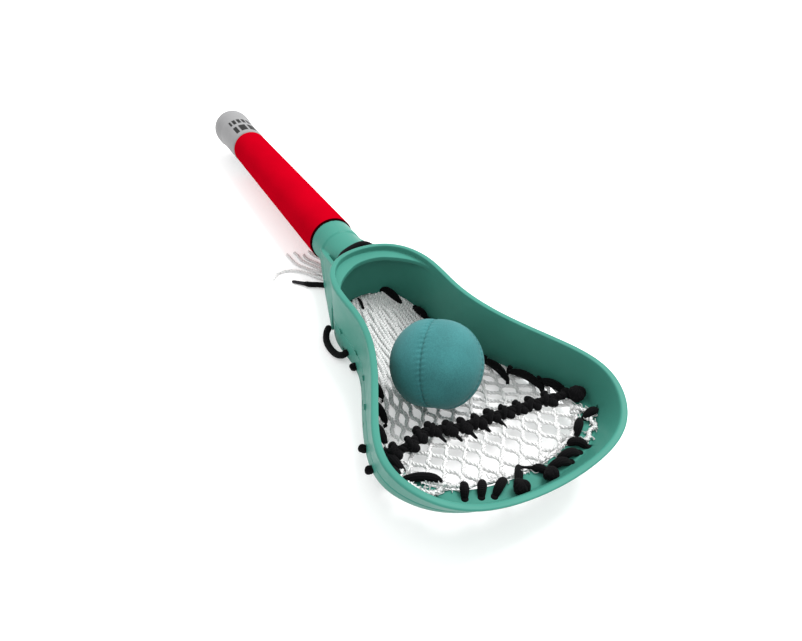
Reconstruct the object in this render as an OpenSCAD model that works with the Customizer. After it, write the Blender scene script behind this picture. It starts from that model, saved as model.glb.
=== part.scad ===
// Mini lacrosse stick with a moulded head, a strung pocket, a gripped shaft and a soft ball.
// Frame: +X along the shaft towards the scoop, +Z up out of the pocket, z = 0 on the floor.
// The shaft's axis is level, and the origin is under the middle of the whole length.

/* [Shaft and grip] */
// Overall length from butt to scoop
total_len = 512; // [508:1:520]
// Outside diameter of the core tube
tube_d = 25.4; // [24:0.1:26.5]
// Wall of the core tube
tube_wall = 1.6; // [1.2:0.1:2.5]
// Outside diameter of the grip sleeve at the butt cap
grip_d = 32; // [31:0.5:34]
// Outside diameter of the grip sleeve at the collar
grip_front_d = 33.6; // [31:0.2:34]
// Length of the grip sleeve
grip_len = 194; // [150:1:200]
// Height of the shaft's axis over the floor
axis_z = 27; // [26:0.5:29]
// Diameter of the butt cap's rounded end
cap_d = 36; // [34:0.5:38]

/* [Head] */
// Outside diameter of the collar's first band
collar_d = 31.4; // [30.5:0.1:32]
// Outside diameter of the collar's recessed band
neck_d = 29.8; // [29:0.1:30.5]
// Length of the collar's first band
collar_band = 17; // [12:1:22]
// Wall thickness of the head
head_wall = 3; // [2.6:0.1:3.6]
// Depth of the head at the throat
head_depth = 47.5; // [44:0.5:50]
// Width of the shelf inside the throat
shelf_w = 8; // [4:0.5:9]
// Width of the flange inside the scoop
flange_w = 8.5; // [6:0.5:9]
// Diameter of the lacing holes
lace_hole_d = 3.6; // [3:0.2:4]

/* [Strings] */
// Thickness of the net
net_t = 1.8; // [1.2:0.1:2.2]
// Diameter of the sidewall strings
side_d = 3; // [2:0.2:3.4]
// Diameter of the thicker laces
lace_d = 4; // [3:0.2:4.4]
// Width of the shooting string
shoot_d = 6.5; // [5:0.5:8]
// Diameter of a loose net strand
strand_d = 2.6; // [1.6:0.2:2.8]

/* [Ball] */
// Outside diameter of the ball
ball_d = 53; // [46:1:54]
// Thickness of the ball's cloth cover
cover_t = 1.2; // [0.8:0.1:2]

/* [Hidden] */

// Sizes along the stick are measured from the collar's end, where the grip starts.
collar_x = 5.5;
tip_x = total_len / 2 - collar_x;
butt_x = -total_len / 2 - collar_x;
fit_gap = 0.05;
grip_gap = 0.6;
tube_end = 46;
round_n = 96;

// Moves a shape from the collar's end to its place in the part's frame.
module place() {
    translate([collar_x, 0, 0]) children();
}

// ---- Curves ---------------------------------------------------------------------------------

// Mirrors half an outline's control points across the XZ plane and closes the ring.
function ring(half) =
    let (n = len(half))
    concat(half, [for (i = [n - 1:-1:0]) [half[i][0], -half[i][1], half[i][2]]]);

// Point at u on a closed uniform cubic B-spline.
function spline(p, u) =
    let (n = len(p), w = u + n, i = floor(w), s = w - i)
    (p[(i + n - 1) % n] * pow(1 - s, 3)
        + p[i % n] * (3 * pow(s, 3) - 6 * s * s + 4)
        + p[(i + 1) % n] * (-3 * pow(s, 3) + 3 * s * s + 3 * s + 1)
        + p[(i + 2) % n] * pow(s, 3)) / 6;

// Point at u on an open Catmull-Rom curve through p.
function through(p, u) =
    let (n = len(p), i = min(floor(u), n - 2), s = u - i,
         a = p[max(i - 1, 0)], b = p[i], c = p[i + 1], d = p[min(i + 2, n - 1)])
    0.5 * (2 * b + (c - a) * s + (2 * a - 5 * b + 4 * c - d) * s * s
        + (3 * b - a - 3 * c + d) * pow(s, 3));

function unit(v) = v / norm(v);
function ramp(x, a, b) = min(1, max(0, (x - a) / (b - a)));
function smooth(x, a, b) = let (r = ramp(x, a, b)) r * r * (3 - 2 * r);

// ---- Head outline ---------------------------------------------------------------------------
// Control points of the rim and of the bottom rail, from throat to scoop, on the +Y side.
// Each is [x, y, z]; a rim point and the rail point below it have the same place in the list.

rim_half = [[48, 21.5, head_depth], [81.5, 36, head_depth], [116, 31.5, head_depth - 0.5],
            [149.5, 40, head_depth - 2.5], [179, 56, head_depth - 4.5],
            [211, 71, head_depth - 6.5], [245, 51.5, head_depth - 10],
            [tip_x + 0.5, 17, head_depth - 15.5]];
rail_half = [[48, 20.5, 0], [77, 36.5, 0], [110.5, 30, 0], [140, 45, 0], [168, 57, 3],
             [201, 66, 12], [230, 48, 14], [tip_x - 10.5, 15.5, 14]];
rim_ring = ring(rim_half);
rail_ring = ring(rail_half);
stations = 72;
ring_n = len(rim_ring);

// Point on the outer wall: u around the head, v from the rail (0) to the rim (1), and inset.
function wall_point(u, v, inset) =
    let (p = spline(rail_ring, u) * (1 - v) + spline(rim_ring, u) * v,
         q = spline(rim_ring, u + 0.05) - spline(rim_ring, u - 0.05),
         t = unit([q[0], q[1], 0]))
    p + inset * [t[1], -t[0], 0];

function wall_height(u) = spline(rim_ring, u)[2] - spline(rail_ring, u)[2];

// Width, from the outer face, of the throat shelf and of the scoop flange at u.
function shelf_at(u) =
    let (x = spline(rim_ring, u)[0])
    head_wall + 0.3 + shelf_w * (1 - smooth(x, 54, 90));
function flange_at(u) =
    let (x = spline(rim_ring, u)[0])
    head_wall + 0.3 + flange_w * smooth(x, 185, 212);
function flange_z(u) =
    let (x = spline(rim_ring, u)[0])
    4 + 3 * smooth(x, 185, 212);

lip_h = 4;
lip_out = 0.8;
lip_in = 0.5;
shelf_drop = 3.5;
shelf_t = 3;
flange_t = 2.6;
groove_v = 0.36;
groove_h = 1;
groove_depth = 0.7;

// Closed section of the wall at u, as [v, inset] pairs turned into points.
function wall_section(u) =
    let (h = wall_height(u), f = flange_at(u), s = shelf_at(u), fz = flange_z(u) / h)
    [for (p = [[0, 0.8], [0.8 / h, 0], [groove_v - groove_h / h, 0], [groove_v, groove_depth],
               [groove_v + groove_h / h, 0], [1 - lip_h / h, 0], [1 - (lip_h - 0.8) / h, -lip_out],
               [1 - 0.8 / h, -lip_out], [1, 0], [1, head_wall - 0.3], [1 - 0.8 / h, head_wall + lip_in],
               [1 - (shelf_drop - 0.5) / h, head_wall + lip_in], [1 - shelf_drop / h, head_wall],
               [1 - shelf_drop / h, s], [1 - (shelf_drop + shelf_t) / h, s],
               [1 - (shelf_drop + shelf_t + 0.5) / h, head_wall], [fz, head_wall], [fz, f],
               [fz - flange_t / h, f], [fz - (flange_t + 0.3) / h, head_wall], [0, head_wall]])
        wall_point(u, p[0], p[1])];

// Closed surface through a closed ring of sections, each a list of points.
module closed_loft(sections) {
    n = len(sections);
    m = len(sections[0]);
    points = [for (s = sections) each s];
    faces = [for (i = [0:n - 1], j = [0:m - 1])
             let (a = i * m + j, b = i * m + (j + 1) % m, k = (i + 1) % n,
                  c = k * m + (j + 1) % m, d = k * m + j)
             each [[a, c, b], [a, d, c]]];
    polyhedron(points, faces);
}

module wall_loop() {
    closed_loft([for (i = [0:stations - 1]) wall_section(i * ring_n / stations)]);
}

// ---- Cords ----------------------------------------------------------------------------------

// Round cord through the route's points, with flat ends.
module cord(route, d, steps = 2, sides = 8) {
    n = (len(route) - 1) * steps;
    centres = [for (i = [0:n]) through(route, i / steps)];
    along = [for (i = [0:n]) unit(centres[min(i + 1, n)] - centres[max(i - 1, 0)])];
    points = [for (i = [0:n], k = [0:sides - 1])
              let (a = unit(cross(along[i], cord_side(along, i))), b = cross(along[i], a),
                   w = 360 * k / sides)
              centres[i] + d / 2 * (cos(w) * a + sin(w) * b)];
    sides_faces = [for (i = [0:n - 1], k = [0:sides - 1])
                   let (a = i * sides + k, b = i * sides + (k + 1) % sides)
                   each [[a, b, b + sides], [a, b + sides, a + sides]]];
    caps = [[for (k = [sides - 1:-1:0]) k], [for (k = [0:sides - 1]) n * sides + k]];
    polyhedron(points, concat(sides_faces, caps));
}

// A direction across the cord that turns as little as possible from one ring to the next.
function cord_side(along, i) =
    i == 0 ? (abs(along[0][2]) > 0.9 ? [1, 0, 0] : [0, 0, 1])
           : let (s = cord_side(along, i - 1)) s - (s * along[i]) * along[i];

module knot(p, d) {
    translate(p) sphere(d = d, $fn = 32);
}

// ---- Shaft, grip and cap --------------------------------------------------------------------

// Puts a shape made along +Z onto the shaft's axis, starting at x.
module on_shaft(x) {
    translate([x, 0, axis_z]) rotate([0, 90, 0]) children();
}

module tube_shape(outer_d, inner_d, length) {
    difference() {
        cylinder(d = outer_d, h = length, $fn = round_n);
        translate([0, 0, -1]) cylinder(d = inner_d, h = length + 2, $fn = round_n);
    }
}

screw_x = 9;
screw_d = 3;
screw_head_d = 6.4;
screw_head_h = 2;

// Vertical cylinder under the collar, on the screw's axis.
module screw_bore(d, z, h) {
    translate([screw_x, 0, z]) cylinder(d = d, h = h, $fn = 48);
}

module shaft_tube() {
    color("black") place() difference() {
        on_shaft(butt_x + 4) tube_shape(tube_d, tube_d - 2 * tube_wall, tube_end - butt_x - 4);
        screw_bore(screw_d, 0, axis_z);
    }
}

module grip_sleeve() {
    edge = 0.8;
    r_in = tube_d / 2 + fit_gap;
    r_rear = grip_d / 2;
    r_front = grip_front_d / 2;
    color("crimson") place() on_shaft(-grip_gap - grip_len) rotate_extrude($fn = round_n)
        polygon([[r_in, 0], [r_rear - edge, 0], [r_rear, edge], [r_front, grip_len - edge],
                 [r_front - edge, grip_len], [r_in, grip_len]]);
}

// The cap widens from the grip to a rounded knob at the butt.
module butt_cap() {
    cap_len = -butt_x - grip_len - 2 * grip_gap;
    r_mouth = grip_d / 2 + 0.2;
    r_knob = cap_d / 2;
    round_r = 8;
    knob_end = 14;
    bore_r = tube_d / 2 + fit_gap;
    knob = [for (w = [0:10:90]) [r_knob - round_r + round_r * cos(w), round_r - round_r * sin(w)]];
    neck = [[r_knob, knob_end], [r_mouth + 0.5, knob_end + 10], [r_mouth, cap_len - 0.8],
            [r_mouth - 0.8, cap_len]];
    color("gainsboro") place() on_shaft(butt_x) rotate_extrude($fn = round_n)
        polygon(concat([for (i = [len(knob) - 1:-1:0]) knob[i]], neck,
                       [[bore_r, cap_len], [bore_r, 3.5], [0, 3.5], [0, 0]]));
}

module head_screw() {
    seat_z = axis_z - collar_d / 2 + 0.6;
    color("dimgray") place() difference() {
        union() {
            screw_bore(screw_d, seat_z - 0.2, 8);
            screw_bore(screw_head_d, seat_z - screw_head_h, screw_head_h);
        }
        for (w = [0, 90])
            translate([screw_x, 0, seat_z - screw_head_h]) rotate(w)
                cube([4, 0.9, 2], center = true);
    }
}

// ---- Head -----------------------------------------------------------------------------------

// Where things are on the wall: z over the floor and inset from the outer face.
function on_wall(u, z, inset) =
    wall_point(u, (z - spline(rail_ring, u)[2]) / wall_height(u), inset);
function mirrored(u) = ring_n - 1 - u;

nub_u = [for (i = [0:4]) 0.6 + 0.69 * i];
nub_z = 17;
nub_d = 3;
nub_h = 0.9;
side_hole_u = [0.85, 1.4, 1.95, 2.45, 2.95, 3.5, 4.1, 4.6];
side_hole_z = 4;
scoop_hole_u = [for (i = [0:10]) 5.35 + 0.43 * i];

// Level cylinder on the wall's own normal at u, from outside the wall to a depth inside it.
module wall_pin(u, z, d, outside, depth) {
    p = on_wall(u, z, 0);
    q = on_wall(u, z, 1);
    translate(p) rotate([0, 90, atan2(q[1] - p[1], q[0] - p[0])]) translate([0, 0, -outside])
        cylinder(d = d, h = depth + outside, $fn = 24);
}

// Side plate from the collar to the wall, on the +Y side, in two flat stretches.
cheek_rear = [[7, 11.2, 18], [7, 12, 31]];
cheek_middle = [[27, 17.3, 0.5], [26, 15.5, 33]];
cheek_front = [[65, 29, 0.5], [56, 21.5, 43]];

module cheek() {
    for (pair = [[cheek_rear, cheek_middle], [cheek_middle, cheek_front]])
        hull() for (edge = pair, p = edge)
            translate(p) cube([1, head_wall, 1], center = true);
}

module collar_shape() {
    on_shaft(0) cylinder(d = collar_d, h = collar_band, $fn = round_n);
    on_shaft(collar_band - 1) cylinder(d = neck_d, h = 51 - collar_band, $fn = round_n);
}

// Slot at the foot of the throat wall, where the net's ends and a lace go out.
module throat_slot() {
    translate([46, -11, 3]) cube([14, 17, 7.6]);
}

module head_frame() {
    color("mediumaquamarine") place() difference() {
        union() {
            wall_loop();
            collar_shape();
            cheek();
            mirror([0, 1, 0]) cheek();
            for (u = nub_u, w = [u, mirrored(u)])
                wall_pin(w, nub_z, nub_d, nub_h, 1);
        }
        on_shaft(-1) cylinder(r = tube_d / 2 + fit_gap, h = tube_end + 1.3, $fn = round_n);
        screw_bore(screw_d + 0.2, 0, axis_z);
        screw_bore(screw_head_d + 0.6, 0, axis_z - collar_d / 2 + 0.6);
        for (u = side_hole_u, w = [u, mirrored(u)])
            wall_pin(w, side_z(u), lace_hole_d, 2, head_wall + 2);
        for (u = scoop_hole_u)
            translate(on_wall(u, flange_top(u) - 6, flange_at(u) - hole_in))
                cylinder(d = lace_hole_d, h = 8, $fn = 24);
        throat_slot();
    }
}

hole_in = 3.6;
function rail_z(u) = spline(rail_ring, u)[2];
function flange_top(u) = rail_z(u) + flange_z(u);
function side_z(u) = side_hole_z + rail_z(u);

// ---- Net ------------------------------------------------------------------------------------

net_first_u = 0.2;
net_last_u = 7.25;
net_rows = 24;
net_cols = 12;

// Height of the net's middle over the floor along the pocket, deepest under the ball.
function net_mid_z(x) = 1.3 + 9 * (1 - smooth(x, 55, 105)) + 16 * smooth(x, 160, 212);
function net_edge_z(u) = rail_z(u) + 2.6 + 3 * smooth(u, 4, 6) + 6 * (1 - smooth(u, 0, 1.2));

// Point on the net's middle surface: row u down the head and w from -1 to 1 across it.
function net_point(u, w) =
    let (edge = on_wall(u, net_edge_z(u), flange_at(u) + 0.5), mid = net_mid_z(edge[0]))
    [edge[0], edge[1] * w, mid + (edge[2] - mid) * pow(abs(w), 2.2)];

module pocket_net() {
    rows = net_rows;
    cols = net_cols;
    side_n = (rows + 1) * (cols + 1);
    function at(layer, r, c) = layer * side_n + r * (cols + 1) + c;
    points = [for (lift = [-net_t / 2, net_t / 2], r = [0:rows], c = [0:cols])
              net_point(net_first_u + (net_last_u - net_first_u) * r / rows, 2 * c / cols - 1)
                  + [0, 0, lift]];
    sheets = [for (r = [0:rows - 1], c = [0:cols - 1])
              let (a = [for (k = [0, 1]) [at(k, r, c), at(k, r, c + 1), at(k, r + 1, c + 1),
                                          at(k, r + 1, c)]])
              each [[a[0][0], a[0][1], a[0][2]], [a[0][0], a[0][2], a[0][3]],
                    [a[1][2], a[1][1], a[1][0]], [a[1][3], a[1][2], a[1][0]]]];
    ends = [for (c = [0:cols - 1])
            each [[at(0, 0, c + 1), at(0, 0, c), at(1, 0, c), at(1, 0, c + 1)],
                  [at(0, rows, c), at(0, rows, c + 1), at(1, rows, c + 1), at(1, rows, c)]]];
    edges = [for (r = [0:rows - 1])
             each [[at(0, r, 0), at(0, r + 1, 0), at(1, r + 1, 0), at(1, r, 0)],
                   [at(0, r + 1, cols), at(0, r, cols), at(1, r, cols), at(1, r + 1, cols)]]];
    color("whitesmoke") place() polyhedron(points, concat(sheets, ends, edges));
}

// ---- Strings and knots ----------------------------------------------------------------------

// The sidewall string comes in through each hole, runs forward over the net's edge, dives
// through it and goes back under it to the next hole.
function side_route(side) =
    [for (i = [0:len(side_hole_u) - 1])
     let (u = side_hole_u[i], f = side < 0 ? mirrored(u) : u, z = side_z(u),
          n = net_point(u + 0.45, 0.88))
     each [on_wall(f, z, -1.2), on_wall(f, z, head_wall + 1),
           [n[0], side * n[1], n[2] + net_t / 2 + side_d / 2],
           [n[0] + 2, side * n[1], max(n[2] - net_t, side_d / 2 + 0.1)]]];

module sidewall_string_left() {
    color("black") place() cord(side_route(-1), side_d, 2);
}

module sidewall_string_right() {
    color("black") place() cord(side_route(1), side_d, 2);
}

// Stitches that hold the net to the scoop's flange, up through one hole after another.
function scoop_route() =
    [for (u = scoop_hole_u)
     let (top = flange_top(u), h = on_wall(u, top, flange_at(u) - hole_in),
          n = on_wall(u + 0.06, top, flange_at(u) + 2.5))
     each [[h[0], h[1], top - 5], [h[0], h[1], top + 1], [n[0], n[1], top + 1.2],
           [n[0], n[1], top - 5]]];

module scoop_string() {
    color("black") place() cord(scoop_route(), side_d, 2);
}

scoop_knot_u = [7.35, 7.85];

module scoop_knots() {
    color("black") place() for (u = scoop_knot_u)
        knot(on_wall(u, flange_top(u) + 3.9, flange_at(u) - 2), 7.5);
}

outer_knot_u = [1.95, 4.1, 4.6];

module outer_knots() {
    color("black") place() for (side = [0, 1], u = outer_knot_u)
        knot(on_wall(side ? mirrored(u) : u, side_z(u), -3.1), 6);
}

shoot_route = [[190, -48, 16.8], [189, -36, 16.3], [192, -17, 16.3], [195, 5, 16.3],
               [198, 27, 16.3], [201, 44, 17], [203, 49.5, 20.5]];

module shooting_string() {
    color("black") place() cord(shoot_route, shoot_d, 2, 12);
}

module shooting_knot() {
    color("black") place() knot([205, 53.5, 23], 9);
}

throat_route = [[50, -15.5, 42.5], [46.5, -10.5, 44], [43.5, -3, 44.6], [41.5, 4, 44.2],
                [40.5, 9.7, 41.8], [41, 13, 38.4], [42, 14.8, 35.2]];

// Ties the net's throat end to the back wall, above and below the net.
tie_route = [[57, -7, 15.5], [65, -9.5, 13], [67, -6, 7.5], [60, 3, 7.5], [56, 8, 13],
             [57, 10, 16.5], [64, 14.5, 14], [72, 18, 10.5], [74, 19.5, 5.5]];

module throat_tie() {
    color("black") place() cord(tie_route, side_d, 2);
}

module throat_lace() {
    color("black") place() cord(throat_route, lace_d, 2);
}

loop_route = [[69, -34.4, 6], [71.5, -36.6, 5], [77, -39.2, 3.6], [84.5, -40, 3], [92, -39, 3.2],
              [96.5, -36.8, 4.6], [97, -34.8, 6]];

module side_loop() {
    color("black") place() cord(loop_route, lace_d, 2);
}

tail_route = [[54, -8.2, 5.4], [44, -8.4, 5.4], [34, -9, 4.2], [26, -10.4, 2.8], [22, -11.8, 2.2],
              [18, -14.6, 2.2], [14.5, -19, 2.2], [11, -24.5, 2.2], [8, -27.2, 2.2]];
tip_route = [[7.6, -27.6, 1.9], [4, -30.6, 1.6], [0.5, -33.6, 1.4]];

module throat_tail() {
    color("black") place() cord(tail_route, lace_d, 2);
}

module tail_tip() {
    color("black") place() cord(tip_route, 2.4, 1);
}

// Loose ends of the net, out through the slot in the throat wall and under the collar.
net_end_routes = [
    [[54, 4, 6.2], [44, 3.6, 6.2], [28, 2, 6], [10, 0.5, 4], [-6, -1.5, 2.2], [-18, -3.5, 1.5],
     [-26, -6.5, 1.5], [-33, -7.5, 1.5]],
    [[54, 1, 8.8], [44, 0.6, 8.8], [28, -1.5, 8.4], [10, -3.6, 5.4], [-6, -6.5, 2.4],
     [-18, -10.5, 1.5], [-24, -13, 1.5], [-30, -13, 1.5]],
    [[54, -2, 6.2], [44, -2.4, 6.2], [28, -5, 5.6], [10, -7.6, 3.6], [-6, -10.5, 2],
     [-16, -14.5, 1.5], [-24, -17.5, 1.5], [-30, -17.6, 1.5], [-37, -18.3, 1.5]],
    [[54, -4.5, 8.8], [44, -5, 8.8], [28, -8, 8], [10, -11.3, 4.6], [-4, -15, 2],
     [-12, -19, 1.5], [-20, -23, 1.5], [-30, -24.2, 1.5], [-37, -24.6, 1.5]],
    [[54, -7.6, 9.1], [44, -8, 9.1], [28, -10.8, 8.2], [18, -12.2, 5.8], [10, -14.8, 3.8],
     [2, -17.6, 2.2], [-5, -21, 1.5], [-11, -26, 1.5], [-14.5, -31, 1.5], [-15.5, -37, 1.5],
     [-13.5, -41.5, 1.5], [-9, -45, 1.5]]
];

module net_end(i) {
    color("whitesmoke") place() cord(net_end_routes[i - 1], strand_d);
}

module net_end_1() { net_end(1); }
module net_end_2() { net_end(2); }
module net_end_3() { net_end(3); }
module net_end_4() { net_end(4); }
module net_end_5() { net_end(5); }

// ---- Ball -----------------------------------------------------------------------------------

ball_at = [154, -4, ball_d / 2 + 2.6];
panel_gap = 0.3;

// Places a shape made at the origin with its pole along +Z onto the leaning ball.
module on_ball() {
    translate(ball_at) rotate([0, 47, 143]) rotate(-17) children();
}

module ball_filling() {
    color("tan") place() on_ball() sphere(r = ball_d / 2 - cover_t - 0.1, $fn = round_n);
}

// One of the four gores of the cover: a quarter of a thin shell, with a sewn gap beside it.
module ball_panel(i) {
    r = ball_d / 2;
    half_gap = panel_gap / 2;
    color("teal") place() on_ball() intersection() {
        difference() {
            sphere(r = r, $fn = round_n);
            sphere(r = r - cover_t, $fn = round_n);
        }
        rotate(90 * i) translate([half_gap, half_gap, -r]) cube([r, r, 2 * r]);
    }
}

module ball_panel_1() { ball_panel(1); }
module ball_panel_2() { ball_panel(2); }
module ball_panel_3() { ball_panel(3); }
module ball_panel_4() { ball_panel(4); }

// ---- What is drawn --------------------------------------------------------------------------

shaft_tube();
grip_sleeve();
butt_cap();
head_frame();
head_screw();
throat_lace();
throat_tie();
pocket_net();
shooting_string();
shooting_knot();
sidewall_string_left();
sidewall_string_right();
scoop_string();
scoop_knots();
outer_knots();
side_loop();
throat_tail();
tail_tip();
net_end_1();
net_end_2();
net_end_3();
net_end_4();
net_end_5();
ball_filling();
ball_panel_1();
ball_panel_2();
ball_panel_3();
ball_panel_4();
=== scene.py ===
"""Looks of the mini lacrosse stick: moulded head, strung net, laces, grip, cap and soft ball."""
import math

import bmesh
import bpy
import numpy as np
from mathutils import Matrix, Vector


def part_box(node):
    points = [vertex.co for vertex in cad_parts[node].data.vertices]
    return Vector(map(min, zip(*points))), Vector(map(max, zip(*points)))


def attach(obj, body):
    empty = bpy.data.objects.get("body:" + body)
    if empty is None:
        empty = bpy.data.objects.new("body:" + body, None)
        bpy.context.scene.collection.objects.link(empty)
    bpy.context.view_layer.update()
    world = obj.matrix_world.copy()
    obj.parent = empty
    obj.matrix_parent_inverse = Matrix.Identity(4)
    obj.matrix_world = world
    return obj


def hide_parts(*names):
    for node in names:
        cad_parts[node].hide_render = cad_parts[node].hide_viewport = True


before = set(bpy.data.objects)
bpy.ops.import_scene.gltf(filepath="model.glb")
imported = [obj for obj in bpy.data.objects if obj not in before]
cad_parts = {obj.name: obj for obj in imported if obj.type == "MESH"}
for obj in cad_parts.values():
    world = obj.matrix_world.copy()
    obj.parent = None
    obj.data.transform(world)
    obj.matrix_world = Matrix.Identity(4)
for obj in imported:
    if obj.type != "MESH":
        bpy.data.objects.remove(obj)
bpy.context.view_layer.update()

MM = 0.001

# Shapes below are in millimetres from the collar's end, with Z over the floor, and placed()
# moves them into the part's frame. The camera, lights and materials are in metres in that frame.
COLLAR_X = 5.5
TIP_X = 250.5
AXIS_Z = 27


def placed(points):
    """Points in millimetres from the collar's end, as metres in the part's frame."""
    return (np.asarray(points, float) + (COLLAR_X, 0, 0)) * MM


# ---- Camera ---------------------------------------------------------------------------------

def make_camera():
    camera = bpy.data.objects.new("camera", bpy.data.cameras.new("camera"))
    bpy.context.scene.collection.objects.link(camera)
    camera.data.sensor_width = 36
    camera.data.lens = 26.93
    camera.data.clip_start = 0.01
    camera.location = (0.3654, -0.1389, 0.2527)
    looking = Vector((-0.6898, 0.3766, -0.6184))
    camera.rotation_euler = looking.to_track_quat("-Z", "Y").to_euler()
    bpy.context.scene.camera = camera


# ---- Curves and shapes ----------------------------------------------------------------------

def unit(v):
    v = np.asarray(v, float)
    return v / np.maximum(np.linalg.norm(v, axis=-1, keepdims=True), 1e-9)


def smooth(x, a, b):
    r = np.clip((np.asarray(x, float) - a) / (b - a), 0, 1)
    return r * r * (3 - 2 * r)


def through(points, step=0.8):
    """Catmull-Rom curve through the points, sampled about every step."""
    p = np.asarray(points, float)
    p = np.vstack([2 * p[0] - p[1], p, 2 * p[-1] - p[-2]])
    out = []
    for a, b, c, d in zip(p, p[1:], p[2:], p[3:]):
        n = max(2, math.ceil(np.linalg.norm(c - b) / step))
        s = (np.arange(n) / n)[:, None]
        out.append(0.5 * (2 * b + (c - a) * s + (2 * a - 5 * b + 4 * c - d) * s ** 2
                          + (3 * b - a - 3 * c + d) * s ** 3))
    return np.vstack([*out, p[-2:-1]])


def along(line):
    """Distance from the line's start to each of its points."""
    return np.concatenate([[0], np.cumsum(np.linalg.norm(np.diff(line, axis=0), axis=1))])


def frames(line):
    """Two unit vectors across the line at each point, turning as little as they can."""
    tangent = unit(np.gradient(line, axis=0))
    first = (1, 0, 0) if abs(tangent[0][2]) > 0.9 else (0, 0, 1)
    normal = [unit(np.cross(first, tangent[0]))]
    for t in tangent[1:]:
        normal.append(unit(normal[-1] - np.dot(normal[-1], t) * t))
    normal = np.array(normal)
    return normal, np.cross(tangent, normal)


def twisted(line, plies, offset, pitch, start=0.0):
    """The plies of a cord: lines that wind round the given one, a turn every pitch."""
    n, b = frames(line)
    turn = along(line) / pitch * 2 * math.pi + start
    offset = np.broadcast_to(offset, len(line))[:, None]
    out = []
    for k in range(plies):
        w = (turn + 2 * math.pi * k / plies)[:, None]
        out.append(line + offset * (np.cos(w) * n + np.sin(w) * b))
    return out


class Shape:
    """Collects tubes and other surfaces, then makes one mesh object of them."""

    def __init__(self):
        self.points = []
        self.faces = []
        self.uvs = []
        self.count = 0

    def add(self, points, faces, uvs=None):
        self.points.append(np.asarray(points, float))
        self.faces += [tuple(i + self.count for i in f) for f in faces]
        self.uvs += uvs if uvs is not None else [[(0, 0)] * len(f) for f in faces]
        self.count += len(points)

    def tube(self, line, radius, sides=8):
        """Tube round the line, with rounded ends. Its UV is the distance along and the turn."""
        line = np.asarray(line, float)
        radius = np.full(len(line), radius, float) if np.isscalar(radius) else radius
        n, b = frames(line)
        w = (2 * math.pi * np.arange(sides) / sides)[None, :, None]
        rings = line[:, None] + radius[:, None, None] * (np.cos(w) * n[:, None] + np.sin(w) * b[:, None])
        heads = []
        for end, other in ((0, 1), (-1, -2)):
            out = unit(line[end] - line[other]) * radius[end] * 0.5
            heads.append(line[end] + (rings[end] - line[end]) * 0.6 + out)
        rings = np.concatenate([heads[0][None], rings, heads[1][None]])
        v = np.concatenate([[0], along(line), [along(line)[-1]]])
        faces, uvs = [], []
        for i in range(len(rings) - 1):
            for k in range(sides):
                m = (k + 1) % sides
                faces.append((i * sides + k, i * sides + m, (i + 1) * sides + m, (i + 1) * sides + k))
                uvs.append([(v[i], k / sides), (v[i], (k + 1) / sides),
                            (v[i + 1], (k + 1) / sides), (v[i + 1], k / sides)])
        last = (len(rings) - 1) * sides
        faces += [tuple(range(sides - 1, -1, -1)), tuple(range(last, last + sides))]
        uvs += [[(0, 0)] * sides, [(0, 0)] * sides]
        self.add(rings.reshape(-1, 3), faces, uvs)

    def cord(self, line, radius, plies, pitch, sides, start=0.0):
        """A cord of two or three twisted plies, with that radius over all of them."""
        ply = radius * (0.56 if plies == 3 else 0.58)
        for strand in twisted(line, plies, radius - ply, pitch, start):
            self.tube(strand, ply, sides)

    def piece(self, name, body, slot, material, replaced=()):
        mesh = bpy.data.meshes.new(name)
        mesh.from_pydata(placed(np.vstack(self.points)).tolist(), [], self.faces)
        layer = mesh.uv_layers.new(name="along")
        layer.data.foreach_set("uv", np.array([c for f in self.uvs for c in f]).ravel())
        return finished(mesh, name, body, material, replaced)


def finished(mesh, name, body, material, replaced=(), angle=None):
    """The mesh as a shaded object on a body, standing for the CAD nodes it replaces."""
    mesh.shade_smooth()
    if angle is not None:
        mesh.set_sharp_from_angle(angle=math.radians(angle))
    mesh.materials.clear()
    mesh.materials.append(material)
    obj = bpy.data.objects.new(name, mesh)
    bpy.context.scene.collection.objects.link(obj)
    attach(obj, body)
    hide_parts(*replaced)
    return obj


def add_blob(shape, centre, size, seed=0, squash=(1, 1, 1)):
    """A lumpy ball of cord, size across."""
    random = np.random.default_rng(seed)
    axes = unit(random.normal(size=(5, 3)))
    sides, rows = 20, 12
    around, up = np.meshgrid(np.linspace(0, 2 * math.pi, sides, endpoint=False),
                             np.linspace(-math.pi / 2, math.pi / 2, rows))
    p = np.stack([np.cos(up) * np.cos(around), np.cos(up) * np.sin(around), np.sin(up)], -1).reshape(-1, 3)
    lumps = np.sin(3.5 * p @ axes.T + random.uniform(0, 6, 5)).sum(1) * 0.035
    p = p * (1 + lumps)[:, None] * size / 2 * np.array(squash) + centre
    faces, uvs = [], []
    for i in range(rows - 1):
        low, high = i * size / 8, (i + 1) * size / 8
        for k in range(sides):
            m = (k + 1) % sides
            faces.append((i * sides + k, i * sides + m, (i + 1) * sides + m, (i + 1) * sides + k))
            uvs.append([(low, k / sides), (low, (k + 1) / sides),
                        (high, (k + 1) / sides), (high, k / sides)])
    shape.add(p, faces, uvs)


def add_knot(shape, centre, size, turn=0.0, tilt=0.0):
    """A tight overhand knot, size across: a closed line of cord round a solid middle."""
    t = np.linspace(0, 2 * math.pi, 61)
    p = np.stack([np.sin(t) + 2 * np.sin(2 * t), np.cos(t) - 2 * np.cos(2 * t),
                  -1.5 * np.sin(3 * t)], 1) / 6
    spin = Matrix.Rotation(turn, 3, "Z") @ Matrix.Rotation(tilt, 3, "X")
    shape.tube(p * size * 0.56 @ np.array(spin).T + centre, size * 0.235, 10)
    add_blob(shape, centre, size * 0.85, int(turn * 10))


# ---- Materials ------------------------------------------------------------------------------

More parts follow.
